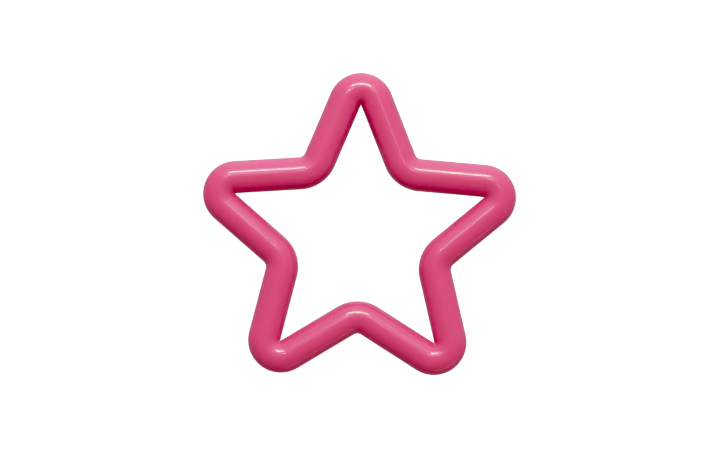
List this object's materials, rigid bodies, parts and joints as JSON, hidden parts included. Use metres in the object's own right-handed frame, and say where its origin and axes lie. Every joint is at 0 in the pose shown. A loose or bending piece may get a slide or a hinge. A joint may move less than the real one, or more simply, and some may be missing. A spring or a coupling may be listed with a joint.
{
  "type": "star craft punch",
  "caption": "Hand-pressed star punch: a round glossy plastic grip ring, bent into a star outline, over a thin steel cutting band of the same outline.",
  "frame": {"origin": "on the star's five-fold axis, in the plane of the cutting edge that the punch stands on", "axes": "+Z from the cutting edge up to the grip ring, +Y to one tip of the star, +X to the right"},
  "size_m": [0.1, 0.0961, 0.03],
  "materials": {
    "grip_plastic": "glossy, slightly translucent",
    "band_steel": "cold-rolled strip, fine grain along its length"
  },
  "bodies": {
    "root": {"upper_shell": "grip_plastic", "lower_shell": "grip_plastic", "cutting_band": "band_steel"}
  },
  "joints": []
}
